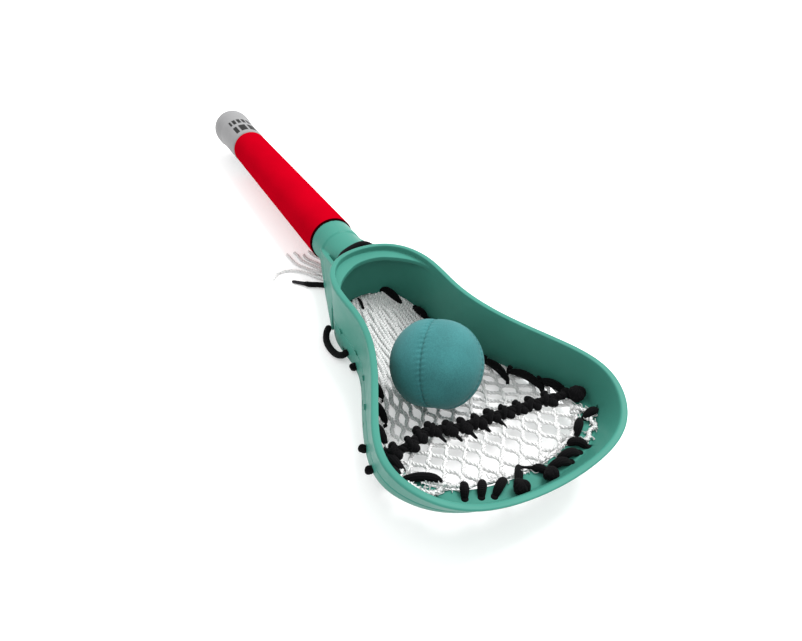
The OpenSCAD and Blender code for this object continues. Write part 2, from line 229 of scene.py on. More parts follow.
def new_material(name, colour, roughness, **sockets):
    material = bpy.data.materials.new(name)
    material.use_nodes = True
    tree = material.node_tree
    shader = tree.nodes["Principled BSDF"]
    shader.inputs["Base Color"].default_value = (*colour, 1)
    shader.inputs["Roughness"].default_value = roughness
    for socket, value in sockets.items():
        shader.inputs[socket.replace("_", " ")].default_value = value
    return material, tree, shader


def link(tree, out, into):
    tree.links.new(out, into)


def noise(tree, scale, detail=3.0, stretch=(1, 1, 1)):
    """Noise in object coordinates; scale is in turns per metre."""
    where = tree.nodes.new("ShaderNodeTexCoord")
    mapping = tree.nodes.new("ShaderNodeMapping")
    mapping.inputs["Scale"].default_value = stretch
    link(tree, where.outputs["Object"], mapping.inputs["Vector"])
    texture = tree.nodes.new("ShaderNodeTexNoise")
    texture.inputs["Scale"].default_value = scale
    texture.inputs["Detail"].default_value = detail
    link(tree, mapping.outputs["Vector"], texture.inputs["Vector"])
    return texture.outputs["Fac"]


def ramp(tree, factor, stops):
    """Colour ramp; stops are (place, colour)."""
    node = tree.nodes.new("ShaderNodeValToRGB")
    elements = node.color_ramp.elements
    while len(elements) < len(stops):
        elements.new(0.5)
    for element, (place, colour) in zip(elements, stops):
        element.position = place
        element.color = (*colour, 1)
    link(tree, factor, node.inputs["Fac"])
    return node.outputs["Color"]


def levels(tree, factor, low, high):
    """The factor, from 0 to 1, spread from low to high."""
    node = tree.nodes.new("ShaderNodeMapRange")
    node.inputs["To Min"].default_value = low
    node.inputs["To Max"].default_value = high
    link(tree, factor, node.inputs["Value"])
    return node.outputs["Result"]


def bump(tree, shader, height, distance, strength=1.0):
    """Adds a bump of that depth in metres, on top of any bump the shader has."""
    node = tree.nodes.new("ShaderNodeBump")
    node.inputs["Distance"].default_value = distance
    node.inputs["Strength"].default_value = strength
    link(tree, height, node.inputs["Height"])
    if shader.inputs["Normal"].links:
        link(tree, shader.inputs["Normal"].links[0].from_socket, node.inputs["Normal"])
    link(tree, node.outputs["Normal"], shader.inputs["Normal"])


def math_node(tree, operation, a, b=0.0, c=0.0):
    """A math node's result. Each input is a number or another node's output."""
    node = tree.nodes.new("ShaderNodeMath")
    node.operation = operation
    for socket, value in zip(node.inputs, (a, b, c)):
        if isinstance(value, (int, float)):
            socket.default_value = value
        else:
            link(tree, value, socket)
    return node.outputs[0]


def mix(tree, factor, under, colour):
    """The colour laid over what is under it where the factor is 1."""
    node = tree.nodes.new("ShaderNodeMix")
    node.data_type = "RGBA"
    link(tree, factor, node.inputs["Factor"])
    link(tree, under, node.inputs["A"])
    node.inputs["B"].default_value = (*colour, 1)
    return node.outputs["Result"]


def shades(colour, *factors):
    """The colour made darker or lighter by each factor."""
    return [tuple(min(1.0, c * f) for c in colour) for f in factors]


def moulded_plastic(name, colour, roughness=0.38):
    """Moulded plastic: faint flow marks, fine spark grain and slightly uneven gloss."""
    material, tree, shader = new_material(name, colour, roughness, Specular_IOR_Level=0.07)
    broad = noise(tree, 25, 2)
    dark, light = shades(colour, 0.93, 1.06)
    link(tree, ramp(tree, broad, [(0.3, dark), (0.7, light)]), shader.inputs["Base Color"])
    link(tree, levels(tree, noise(tree, 90, 4), roughness - 0.06, roughness + 0.08),
         shader.inputs["Roughness"])
    bump(tree, shader, noise(tree, 2600, 2), 0.00002, 0.5)
    return material


def object_axes(tree):
    """The X, Y and Z outputs of the place on the object, in metres."""
    where = tree.nodes.new("ShaderNodeTexCoord")
    split = tree.nodes.new("ShaderNodeSeparateXYZ")
    link(tree, where.outputs["Object"], split.inputs["Vector"])
    return split.outputs


def braid(tree, pitch, strands):
    """Height of a round braid from UV (millimetres along, turns round), from 0 to 1."""
    uv = tree.nodes.new("ShaderNodeUVMap")
    uv.uv_map = "along"
    split = tree.nodes.new("ShaderNodeSeparateXYZ")
    link(tree, uv.outputs["UV"], split.inputs["Vector"])
    length = math_node(tree, "MULTIPLY", split.outputs["X"], 2 * math.pi / pitch)
    turn = math_node(tree, "MULTIPLY", split.outputs["Y"], 2 * math.pi * strands)
    left = math_node(tree, "SINE", math_node(tree, "ADD", length, turn))
    right = math_node(tree, "SINE", math_node(tree, "SUBTRACT", length, turn))
    product = math_node(tree, "MULTIPLY", left, right)
    return math_node(tree, "MULTIPLY_ADD", product, 0.5, 0.5)


def woven_cord(name, colour, dark, pitch, strands, depth, roughness=0.8):
    """Textile cord: braid relief, painted shade between its yarns, and a little fuzz."""
    material, tree, shader = new_material(name, colour, roughness, Sheen_Weight=0.02,
                                          Specular_IOR_Level=0.05)
    height = braid(tree, pitch, strands)
    fuzz = noise(tree, 1500, 4)
    mixed = math_node(tree, "MULTIPLY_ADD", fuzz, 0.5, math_node(tree, "MULTIPLY", height, 0.6))
    # The ramp's dark colour is painted shade in the grooves between the yarns. The fuzz noise adds random
    # speckle on top of it.
    link(tree, ramp(tree, mixed, [(0.15, dark), (0.75, colour)]), shader.inputs["Base Color"])
    bump(tree, shader, height, depth)
    bump(tree, shader, fuzz, depth * 0.5, 0.6)
    return material


def lace_black():
    # The second colour is the painted shade between the lace's yarns.
    return woven_cord("lace_black", (0.0045, 0.0042, 0.0048), (0.0012, 0.0012, 0.0014),
                      pitch=1.1, strands=6, depth=0.00025, roughness=0.85)


def net_white():
    # The second colour is the painted shade between the net cord's yarns.
    return woven_cord("net_white", (0.78, 0.78, 0.775), (0.50, 0.50, 0.50),
                      pitch=1.3, strands=2, depth=0.0004)


def grip_cover():
    """Smooth cover over foam: fine grain, faint mottling and a painted shade band at the collar end,
    standing for the shadow in the gap there.
    """
    red = (0.34, 0.0002, 0.0065)
    material, tree, shader = new_material("grip_cover", red, 0.6, Specular_IOR_Level=0.0)
    dark, light = shades(red, 0.88, 1.05)
    collar_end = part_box("grip_sleeve")[1][0]
    # Painted shade: a near-black band within 0.7 mm of the sleeve's end at the collar, standing for the
    # shadow in the gap between sleeve and collar.
    edge = math_node(tree, "COMPARE", object_axes(tree)["X"], collar_end, 0.0007)
    mottled = ramp(tree, noise(tree, 40, 4, (0.5, 1, 1)), [(0.3, dark), (0.7, light)])
    link(tree, mix(tree, edge, mottled, (0.02, 0.0, 0.001)), shader.inputs["Base Color"])
    link(tree, levels(tree, noise(tree, 150, 3), 0.48, 0.62), shader.inputs["Roughness"])
    bump(tree, shader, noise(tree, 1800, 2, (1, 0.5, 0.5)), 0.00012, 0.5)
    bump(tree, shader, noise(tree, 60, 2), 0.0003, 0.4)
    return material


def ball_cloth():
    """Stretch knit: a fine grain of loops over faint patches, matt with a soft sheen."""
    teal = (0.032, 0.148, 0.152)
    material, tree, shader = new_material("ball_cloth", teal, 0.7, Sheen_Weight=0.08,
                                          Sheen_Roughness=0.5, Specular_IOR_Level=0.1)
    dark, light = shades(teal, 0.8, 1.15)
    weave = noise(tree, 1400, 3)
    patches = math_node(tree, "MULTIPLY", noise(tree, 60, 4), 0.5)
    shade = math_node(tree, "MULTIPLY_ADD", weave, 0.5, patches)
    link(tree, ramp(tree, shade, [(0.35, dark), (0.65, light)]), shader.inputs["Base Color"])
    bump(tree, shader, weave, 0.00016, 0.7)
    bump(tree, shader, noise(tree, 220, 3), 0.0002, 0.4)
    return material


# The cap's two rows of marks: middle and half length along X in metres, then half the pitch
# between marks and half a mark's width, as turns round the cap in radians.
BLOCK_ROW = (-0.2030, 0.0070, 0.26, 0.20)
BAR_ROW = (-0.2205, 0.0050, 0.14, 0.095)


def marks(tree, along_x, turn, middle, half, pitch, width):
    """A row of short marks round the cap: 1 in the ink and 0 elsewhere."""
    row = math_node(tree, "COMPARE", along_x, middle, half)
    dash = math_node(tree, "PINGPONG", math_node(tree, "ADD", turn, 0.55), pitch)
    return math_node(tree, "MULTIPLY", row, math_node(tree, "LESS_THAN", dash, width))


def cap_print():
    """Pale cap with a generic print near the grip, on its upper side: two rows of dark marks."""
    pale = (0.205, 0.205, 0.208)
    material, tree, shader = new_material("cap_print", pale, 0.5, Specular_IOR_Level=0.12)
    axes = object_axes(tree)
    height = math_node(tree, "SUBTRACT", axes["Z"], AXIS_Z * MM)
    turn = math_node(tree, "ARCTAN2", axes["Y"], height)
    blocks = marks(tree, axes["X"], turn, *BLOCK_ROW)
    bars = marks(tree, axes["X"], turn, *BAR_ROW)
    upper = math_node(tree, "COMPARE", turn, 0.22, 0.8)
    ink = math_node(tree, "MULTIPLY", math_node(tree, "MAXIMUM", blocks, bars), upper)
    dark, light = shades(pale, 0.95, 1.04)
    mottled = ramp(tree, noise(tree, 60, 3), [(0.3, dark), (0.7, light)])
    link(tree, mix(tree, ink, mottled, (0.003, 0.003, 0.003)), shader.inputs["Base Color"])
    bump(tree, shader, noise(tree, 1800, 2), 0.00004, 0.4)
    return material


def screw_metal():
    material, tree, shader = new_material("screw_metal", (0.5, 0.5, 0.52), 0.35, Metallic=1.0)
    link(tree, levels(tree, noise(tree, 900, 3, (1, 1, 4)), 0.25, 0.45), shader.inputs["Roughness"])
    bump(tree, shader, noise(tree, 1200, 2), 0.00003, 0.5)
    return material


# ---- Head -----------------------------------------------------------------------------------

HEAD_DEPTH = 47.5
HEAD_WALL = 3.0
SHELF_WIDTH = 8.3
SHELF_DOWN = 3.5
FLANGE_WIDTH = 8.8
GROOVE_AT = 0.36
# Control points of the rim and of the foot's rail, on the +Y side from the throat to the tip.
RIM_HALF = [[48, 21.5, HEAD_DEPTH], [81.5, 36, HEAD_DEPTH], [116, 31.5, HEAD_DEPTH - 0.5],
            [149.5, 40, HEAD_DEPTH - 2.5], [179, 56, HEAD_DEPTH - 4.5],
            [211, 71, HEAD_DEPTH - 6.5], [245, 51.5, HEAD_DEPTH - 10],
            [TIP_X + 0.5, 17, HEAD_DEPTH - 15.5]]
RAIL_HALF = [[48, 20.5, 0], [77, 36.5, 0], [110.5, 30, 0], [140, 45, 0], [168, 57, 3],
             [201, 66, 12], [230, 48, 14], [TIP_X - 10.5, 15.5, 14]]


def ring(half):
    """The half's points and their mirror images, as one closed ring."""
    half = np.array(half, float)
    return np.vstack([half, (half * (1, -1, 1))[::-1]])


RIM = ring(RIM_HALF)
RAIL = ring(RAIL_HALF)
RING_N = len(RIM)


def spline(points, u):
    """Points at u, a number or an array, on a closed uniform cubic B-spline."""
    u = np.asarray(u, float)
    i = np.floor(u).astype(int)
    s = (u - i)[..., None]
    a, b, c, d = (points[(i + k) % len(points)] for k in (-1, 0, 1, 2))
    return (a * (1 - s) ** 3 + b * (3 * s ** 3 - 6 * s ** 2 + 4)
            + c * (-3 * s ** 3 + 3 * s ** 2 + 3 * s + 1) + d * s ** 3) / 6


def rail_z(u):
    """Height of the wall's foot at u round the head."""
    return spline(RAIL, u)[..., 2]


def rim_z(u):
    """Height of the wall's top at u round the head."""
    return spline(RIM, u)[..., 2]


def on_wall(u, z, inset):
    """Point on the head's wall: u round the head, z over the floor, inset from the outer face."""
    v = ((z - rail_z(u)) / (rim_z(u) - rail_z(u)))[..., None]
    p = spline(RAIL, u) * (1 - v) + spline(RIM, u) * v
    q = unit((spline(RIM, u + 0.05) - spline(RIM, u - 0.05))[..., :2])
    out = np.stack([q[..., 1], -q[..., 0], np.zeros_like(q[..., 0])], -1)
    return p + np.asarray(inset)[..., None] * out


def scoop_part(u):
    """How far u is within the scoop, from 0 to 1."""
    return smooth(spline(RIM, u)[..., 0], 185, 212)


def shelf_at(u):
    """Inset of the throat shelf's inner edge, which fades into the wall."""
    x = spline(RIM, u)[..., 0]
    return HEAD_WALL + 0.02 + SHELF_WIDTH * (1 - smooth(x, 54, 90))


def flange_at(u):
    """Inset of the scoop flange's inner edge, which fades into the wall."""
    return HEAD_WALL + 0.02 + FLANGE_WIDTH * scoop_part(u)


def flange_top(u):
    return rail_z(u) + 4 + 3 * scoop_part(u)


def wall_corners(u):
    """Corners of the wall's section at each u, as (inset, z over the rail, rounding)."""
    h = rim_z(u) - rail_z(u)
    w = HEAD_WALL
    groove = GROOVE_AT * h
    shelf, shelf_z = shelf_at(u), h - SHELF_DOWN
    flange, flange_z = flange_at(u), flange_top(u) - rail_z(u)
    outside = [(0.8, 0, 0.4), (0, 0.8, 0.5),
               (0, groove - 1, 0.3), (0.7, groove, 0.4), (0, groove + 1, 0.3),
               (0, h - 4, 0.4), (-0.8, h - 3.2, 0.5), (-0.8, h - 0.8, 0.6), (0, h, 0.6)]
    inside = [(w - 0.3, h, 0.6), (w, h - 0.8, 0.6), (w, shelf_z, 0.4),
              (shelf, shelf_z, 0.7), (shelf, shelf_z - 3, 0.7), (w, shelf_z - 3.5, 0.5),
              (w, flange_z, 0.8), (flange, flange_z, 0.8),
              (flange, flange_z - 2.6, 0.8), (w, flange_z - 2.9, 0.4), (w, 0, 0.4)]
    return outside + inside


def rounded(corners, u):
    """The section with each corner rounded by a short curve, as arrays of inset and z."""
    p = [np.stack([np.broadcast_to(a, u.shape), np.broadcast_to(b, u.shape)], -1).astype(float)
         for a, b, _ in corners]
    out = []
    for k, (_, _, radius) in enumerate(corners):
        before, here, after = p[k - 1], p[k], p[(k + 1) % len(p)]
        ends = []
        for other in (before, after):
            gap = np.linalg.norm(other - here, axis=-1, keepdims=True)
            ends.append(here + (other - here) * np.minimum(radius, 0.45 * gap) / np.maximum(gap, 1e-6))
        for s in (0, 0.33, 0.67, 1):
            out.append(ends[0] * (1 - s) ** 2 + here * 2 * s * (1 - s) + ends[1] * s ** 2)
    return out


def wall_shape(stations=360):
    """Points and faces of the wall, its section carried round the head."""
    u = np.arange(stations) * RING_N / stations
    rows = [on_wall(u, rail_z(u) + q[..., 1], q[..., 0]) for q in rounded(wall_corners(u), u)]
    grid = np.stack(rows, 1)
    m = len(rows)
    faces = [(i * m + j, ((i + 1) % stations) * m + j, ((i + 1) % stations) * m + (j + 1) % m,
              i * m + (j + 1) % m) for i in range(stations) for j in range(m)]
    return grid.reshape(-1, 3), faces


def box_mesh(corners):
    """Convex hull of the points, as a closed mesh."""
    work = bmesh.new()
    for p in corners:
        work.verts.new(p)
    bmesh.ops.convex_hull(work, input=work.verts)
    return work


def temp_object(name, work):
    """An object made of a bmesh, in millimetres."""
    mesh = bpy.data.meshes.new(name)
    bmesh.ops.recalc_face_normals(work, faces=work.faces)
    work.to_mesh(mesh)
    work.free()
    obj = bpy.data.objects.new(name, mesh)
    bpy.context.scene.collection.objects.link(obj)
    return obj


def cylinder(work, start, direction, radius, length, sides=24):
    """Adds a cylinder to the bmesh, from start along the direction."""
    turn = Vector(direction).to_track_quat("Z", "Y").to_matrix().to_4x4()
    where = Matrix.Translation(Vector(start) + Vector(direction).normalized() * (length / 2))
    bmesh.ops.create_cone(work, cap_ends=True, segments=sides, radius1=radius, radius2=radius,
                          depth=length, matrix=where @ turn)


def cheek_points(side):
    """The two stretches of a side plate, each as the corners of its hull."""
    rear = [(7, 11.2, 18), (7, 12, 31)]
    middle = [(27, 17.3, 0.5), (26, 15.5, 33)]
    front = [(65, 29, 0.5), (56, 21.5, 43)]
    for pair in (rear + middle, middle + front):
        yield [(x + dx, side * y + dy, z + dz) for x, y, z in pair
               for dx in (-0.5, 0.5) for dy in (-1.5, 1.5) for dz in (-0.5, 0.5)]


TUBE_R = 12.75
BORE_DEPTH = 46.3
SCREW_X = 9
SCREW_HEAD_R = 3.5
# The collar's two steps, as (start, radius, length).
COLLAR_STEPS = [(0, 15.7, 17), (16, 14.9, 35)]


def collar_object():
    """Collar and side plates, blended into one another as they are in the mould."""
    parts = []
    for side in (-1, 1):
        for corners in cheek_points(side):
            parts.append(temp_object("cheek", box_mesh(corners)))
    for x, r, length in COLLAR_STEPS:
        work = bmesh.new()
        cylinder(work, (x, 0, AXIS_Z), (1, 0, 0), r, length, sides=96)
        parts.append(temp_object("collar", work))
    joined = parts[0]
    with bpy.context.temp_override(active_object=joined, selected_editable_objects=parts):
        bpy.ops.object.join()
    remesh = joined.modifiers.new("blend", "REMESH")
    remesh.mode = "VOXEL"
    remesh.voxel_size = 0.52
    soften = joined.modifiers.new("soften", "SMOOTH")
    soften.factor = 0.5
    soften.iterations = 3
    return joined


def cut(obj, other, operation="DIFFERENCE"):
    """Cuts the other object out of this one, or joins them by UNION."""
    boolean = obj.modifiers.new("cut", "BOOLEAN")
    boolean.operation = operation
    boolean.solver = "EXACT"
    boolean.object = other


def applied(obj):
    """The object's mesh with its modifiers applied."""
    graph = bpy.context.evaluated_depsgraph_get()
    return bpy.data.meshes.new_from_object(obj.evaluated_get(graph))


# Lace holes through the wall as places round the head, and through the flange as (x, y).
SIDE_HOLES = [0.85, 1.4, 1.95, 2.45, 2.95, 3.5, 4.1, 4.6]
SCOOP_HOLES = [(230, -35), (233, -28), (235.5, -22.5), (236.5, -10), (238, 7), (237, 21.5),
               (234.5, 29), (234, 35), (218, 56)]
LACE_HOLE_R = 1.8
# Height of the side holes over the rail.
LACE_UP = 4
NUBS = [0.6 + 0.69 * i for i in range(5)]
NUB_Z = 17
NUB_R = 1.6
NUB_H = 0.9


def mirrored(u):
    """The place across from u, on the head's other side."""
    return RING_N - 1 - u


def wall_pins(work, u, z, r, outside, depth):
    """Level cylinders on the wall's normal at u and at its mirror place."""
    for w in (u, mirrored(u)):
        outer, inner = on_wall(w, z, 0), on_wall(w, z, 1)
        inward = inner - outer
        cylinder(work, outer - outside * inward, inward, r, depth + outside)


def wall_object():
    points, faces = wall_shape()
    mesh = bpy.data.meshes.new("wall")
    mesh.from_pydata(points.tolist(), [], faces)
    wall = bpy.data.objects.new("wall", mesh)
    bpy.context.scene.collection.objects.link(wall)
    return wall


def collar_bore():
    work = bmesh.new()
    cylinder(work, (-1, 0, AXIS_Z), (1, 0, 0), TUBE_R, BORE_DEPTH + 1, sides=96)
    return temp_object("bore", work)


def small_holes():
    """Holes for the laces, in the wall and the flange, and the screw's hole."""
    work = bmesh.new()
    for u in SIDE_HOLES:
        wall_pins(work, u, LACE_UP + rail_z(u), LACE_HOLE_R, outside=2, depth=5)
    for x, y in SCOOP_HOLES:
        cylinder(work, (x, y, 10), (0, 0, 1), LACE_HOLE_R, 14)
    cylinder(work, (SCREW_X, 0, 6), (0, 0, 1), SCREW_HEAD_R, 5.9, sides=48)
    return temp_object("small_holes", work)


def throat_slot():
    """Slot at the foot of the throat wall, where the net's ends go out."""
    corners = [(x, y, z) for x in (46, 60) for y in (-11, 6) for z in (3, 10.6)]
    return temp_object("slot", box_mesh(corners))


def wall_nubs():
    work = bmesh.new()
    for u in NUBS:
        wall_pins(work, u, NUB_Z, NUB_R, outside=NUB_H, depth=1)
    return temp_object("nubs", work)


def head_object(material):
    """The moulding in one mesh: wall, collar and nubs, less the bore, the holes and the slot."""
    head = wall_object()
    added = [collar_object(), wall_nubs()]
    taken = [collar_bore(), small_holes(), throat_slot()]
    for other in added:
        cut(head, other, "UNION")
    for other in taken:
        cut(head, other)
    mesh = applied(head)
    mesh.transform(Matrix.Scale(MM, 4) @ Matrix.Translation((COLLAR_X, 0, 0)))
    for obj in (head, *added, *taken):
        bpy.data.objects.remove(obj)
    finished(mesh, "head", "stick", material, ["head_frame"], angle=32)


# ---- Net ------------------------------------------------------------------------------------

NET_STRANDS = 20
# Length of one mesh along the net, and radius of its cord.
NET_PERIOD = 14.5
NET_R = 1.2
PLY_PITCH = 4.2


def net_edge():
    """The net's edge on the +Y side, from throat to scoop, as an array of points."""
    u = np.linspace(0.1, 7.49, 300)
    z = rail_z(u) + 2.6 + 3 * smooth(u, 4, 6) + 6 * (1 - smooth(u, 0, 1.2))
    return on_wall(u, z, flange_at(u) + 0.5)


EDGE = net_edge()


def net_z(x, y):
    """Height of the net's middle surface over the floor."""
    x, y = np.asarray(x, float), np.asarray(y, float)
    middle = 1.3 + 9 * (1 - smooth(x, 55, 105)) + 16 * smooth(x, 160, 212)
    half = np.interp(x, EDGE[:, 0], EDGE[:, 1])
    edge = np.interp(x, EDGE[:, 0], EDGE[:, 2])
    w = np.minimum(np.abs(y) / half, 1)
    return middle + (edge - middle) * w ** 2.2


def past_edge(x, y):
    """Signed distance past the net's edge, negative inside it."""
    p = np.stack([x, np.abs(y)], -1)
    gap = np.sqrt(((p[:, None] - EDGE[None, :, :2]) ** 2).sum(-1)).min(1)
    inside = (np.abs(y) < np.interp(x, EDGE[:, 0], EDGE[:, 1])) & (x < EDGE[-1, 0])
    return np.where(inside, -gap, gap)


def strand(j):
    """One lengthwise strand: it swings to touch the next strand on one side and on the other.

    Near the throat and on the -Y side the net is drawn lengthwise, so its meshes are closed.
    """
    x = np.arange(56.5, 240.0, 0.5)
    widest = EDGE[:, 1].argmax()
    half = np.interp(np.minimum(x, EDGE[widest, 0]), EDGE[:, 0], EDGE[:, 1])
    y = (-1 + (2 * j + 1) / NET_STRANDS) * (half - NET_R)
    opened = smooth(x + 0.6 * y, 100, 165)
    swing = np.maximum(half / NET_STRANDS - NET_R * 0.9, 0.15) * (0.25 + 0.75 * opened)
    phase = 2 * math.pi * (x - 190 - 2.5 * np.sin(y / 17)) / NET_PERIOD
    y = y + (-1) ** j * swing * np.clip(1.35 * np.cos(phase), -1, 1)
    y = y + 0.35 * np.sin(x / 7.3 + 1.9 * j) + 0.2 * np.sin(x / 3.1 + 2.7 * j)
    past = past_edge(x, y)
    keep = past < 1.5
    x, y, past, phase, opened = x[keep], y[keep], past[keep], phase[keep], opened[keep]
    lift = smooth(past, -3, 1) * smooth(x, 195, 212) * 3.6
    cover = 1.2 * (1 - smooth(x, 58, 66))
    radius = NET_R + 0.45 * (1 - opened)
    z = net_z(x, y) + lift + cover + 0.35 * (-1) ** j * np.cos(phase / 2)
    return np.stack([x, y, np.maximum(z, radius + 0.1)], 1), radius


# Outermost meshes that lie loose on the flange, past the stitches.
LOOSE_MESHES = [[(210, 48, 20.6), (214, 49, 21.6), (218, 51, 22), (222, 47.5, 22), (226, 47, 22),
                 (227, 42, 22), (230.5, 38, 22), (229, 32, 21)],
                [(200, -51, 17.6), (205, -54, 19.6), (212, -52.5, 21.4), (218, -50, 22),
                 (221.5, -45, 22), (219, -38, 20.8)]]


def frayed_edge(shape, random):
    """Short loose fibres where the net's last meshes lie on the scoop's flange."""
    edge = EDGE[EDGE[:, 0] > 200] + (0, 0, 2.6)
    rows = [edge, edge * (1, -1, 1), *(through(route) for route in LOOSE_MESHES)]
    for k in range(420):
        row = rows[k % len(rows)]
        start = row[random.integers(len(row))] + random.normal(0, 0.9, 3) * (1, 1, 0.4)
        bend, end = random.normal(0, 1.1, (2, 3)) * (1, 1, 0.3)
        shape.tube(through([start, start + bend, start + bend + end], 0.9), 0.24, 4)


def net_object(material):
    shape = Shape()
    random = np.random.default_rng(7)
    for j in range(NET_STRANDS):
        line, radius = strand(j)
        shape.cord(line, radius, 2, PLY_PITCH, 6, random.uniform(0, 6))
    inner = EDGE[EDGE[:, 0] > 58]
    rim = np.vstack([inner, (inner * (1, -1, 1))[::-1]])
    rim[:, 2] += smooth(rim[:, 0], 200, 212) * 2.4
    shape.cord(rim[::2], 1.0, 2, PLY_PITCH, 6)
    for route in LOOSE_MESHES:
        shape.cord(through(route), 1.15, 2, PLY_PITCH, 6)
    frayed_edge(shape, random)
    net = shape.piece("net", "stick", "net_cord", material, ["pocket_net"])


# ---- Laces ----------------------------------------------------------------------------------

def add_stitch(shape, a, b, thick=2.3, rise=1.5, dive=2.2):
    """A stitch of lace from a to b: thick in its middle, narrow where it goes through."""
    a, b = np.array(a, float), np.array(b, float)
    s = np.linspace(0, 1, 25)
    hill = np.sin(math.pi * s)
    line = a + (b - a) * s[:, None]
    line[:, 2] += (rise + dive) * hill ** 0.8 - dive
    shape.tube(line, 0.9 + (thick - 0.9) * hill ** 0.5, 12)


# Stitches of the scoop string: where each comes out of the flange and where it hooks the net.
SCOOP_STITCHES = [((230, -35), (222.5, -31)), ((233, -28), (225.5, -22.5)),
                  ((235.5, -22.5), (230, -12.5)), ((237, 21.5), (235, 8.5)), ((234.5, 29), (233, 16)),
                  ((234, 35), (227, 27)), ((226, 34), (218, 44)), ((218, 56.5), (218.5, 45.5))]
FLANGE_TOP = 20.8


def scoop_string(material):
    shape = Shape()
    for hole in SCOOP_HOLES:
        shape.tube([(*hole, z) for z in (15, 16.5, 18.5, FLANGE_TOP)], LACE_HOLE_R - 0.1, 12)
    for hole, hook in SCOOP_STITCHES:
        add_stitch(shape, (*hole, FLANGE_TOP), (*hook, net_z(*hook) + 1.8), thick=2.3, rise=2.6)
    add_stitch(shape, (237, -10.5, 24), (226, -1.5, 21), thick=2.1, rise=0.4)
    add_stitch(shape, (238.5, 7, 24), (229.5, 2.5, 21), thick=2.1, rise=0.4)
    shape.tube(through([(228, -3, 22), (230, -1, 22.4), (232, 3, 22.4)], 0.7), 0.8, 8)
    arc = through([(205.5, -55, 17.5), (208, -52, 20.8), (211, -46.5, 22.2), (215, -41.5, 22.2),
                   (218.5, -39.5, 19.4)], 0.7)
    shape.tube(arc, 1.1 + 1.2 * np.sin(np.linspace(0, math.pi, len(arc))) ** 0.5, 12)
    shape.piece("scoop_stitches", "stick", "black_lace", material, ["scoop_string"])


def scoop_knots(material):
    shape = Shape()
    add_knot(shape, (239, -10.5, 24.8), 8.4, 0.4, 0.3)
    add_knot(shape, (240, 6, 24.8), 8.0, 1.9, -0.4)
    shape.piece("scoop_knot_pair", "stick", "black_lace", material, ["scoop_knots"])


# Where each stitch of a sidewall string hooks the net, in the order of the holes.
LEFT_HOOKS = [(90, -28), (105, -27), (124, -27.5), (140, -31), (158, -38), (174, -46.5), (203, -50.5),
              (207, -54)]
RIGHT_HOOKS = [(90, 28.5), (105, 27), (124, 28), (141, 33), (164, 40.5), (184, 50), (196, 56),
               (206, 52)]


def side_string(name, side, hooks, material):
    """A lace that comes in through each hole, runs forward, dives and goes on under the net."""
    shape = Shape()
    holes = []
    for u in SIDE_HOLES:
        f = mirrored(u) if side < 0 else u
        holes.append([on_wall(f, LACE_UP + rail_z(u), inset) for inset in (1.2, HEAD_WALL + 2.6)])
    for (root, mouth), hook in zip(holes, hooks):
        end = np.array([*hook, net_z(*hook) + 2.2])
        add_stitch(shape, mouth + (0, 0, 0.5), end, thick=2.5, rise=1.8)
        shape.tube(np.linspace(root, mouth + (0, 0, 0.5), 5), 1.4, 10)
    for hook, (root, mouth) in zip(hooks, holes[1:]):
        x, y, z = *hook, float(net_z(*hook))
        low = max(z - 2.2, 1.3)
        middle = (np.array([x, y, low]) + mouth * (1, 1, 0) + (0, 0, low)) / 2
        shape.tube(through([(x, y, low), middle, mouth], 0.9), 1.1, 8)
    shape.piece(f"{name}_lace", "stick", "black_lace", material, [name])


# Side holes that end in a knot outside the wall.
KNOTTED_HOLES = [1.95, 4.1, 4.6]


def outer_knots(material):
    shape = Shape()
    for u in KNOTTED_HOLES:
        for w in (u, mirrored(u)):
            add_knot(shape, on_wall(w, LACE_UP + rail_z(u), -1.4), 5.6, u, 1.2)
    shape.piece("outer_knots_tied", "stick", "black_lace", material, ["outer_knots"])


SHOOT_ROUTE = [[186, -53, 15.5], [188, -46, 16.6], [188, -40, 17], [184.5, -32, 16.6],
               [184.5, -24, 16.3], [188, -16, 16.3], [190.5, -7, 16.3], [191, 3, 16.3],
               [192, 13, 16.3], [193.5, 23, 16.5], [195, 32, 17], [197, 41, 18],
               [200, 49, 20]]
# Length of lace from one hitch to the next.
HITCH_GAP = 8.2


def shooting_string(material):
    """A thick lace across the net, hitched round each mesh that it passes."""
    shape = Shape()
    random = np.random.default_rng(3)
    line = through(SHOOT_ROUTE, 0.6)
    place = along(line)
    shape.cord(line, 2.6 + 0.25 * np.sin(place / 1.9), 3, 9, 10)
    n, b = frames(line)
    tangent = unit(np.gradient(line, axis=0))
    for k, s in enumerate(np.arange(5, place[-1] - 3, HITCH_GAP)):
        i = int(np.argmin(abs(place - s - random.uniform(-0.7, 0.7))))
        w = np.linspace(0, 2 * math.pi, 25)[:, None]
        lean = random.uniform(0.8, 2.2) * np.cos(w) * tangent[i]
        loop = line[i] + 2.3 * (np.cos(w) * n[i] + np.sin(w) * b[i]) + lean
        shape.tube(loop, 1.5, 10)
        back = line[i] + (-3.1, random.uniform(-1, 1), 1.0)
        add_blob(shape, back, random.uniform(3.6, 4.8), k)
        front = line[i] + (2.2, 1.8 + random.uniform(-1, 1), -0.2)
        add_blob(shape, front, random.uniform(4.6, 6.4), 50 + k, (1.2, 1, 0.9))
        if 3 <= k <= 7:
            spike = through([front, front + (4, 0.5, -0.4), front + (7, 1.2, -1.0)], 0.7)
            shape.tube(spike, np.linspace(1.5, 0.7, len(spike)), 8)
    shape.piece("shooting_lace", "stick", "black_lace", material, ["shooting_string"])


def shooting_knot(material):
    shape = Shape()
    add_knot(shape, (204.5, 53.5, 23), 9.6, 0.8, 0.5)
    shape.piece("shooting_knot_tied", "stick", "black_lace", material, ["shooting_knot"])


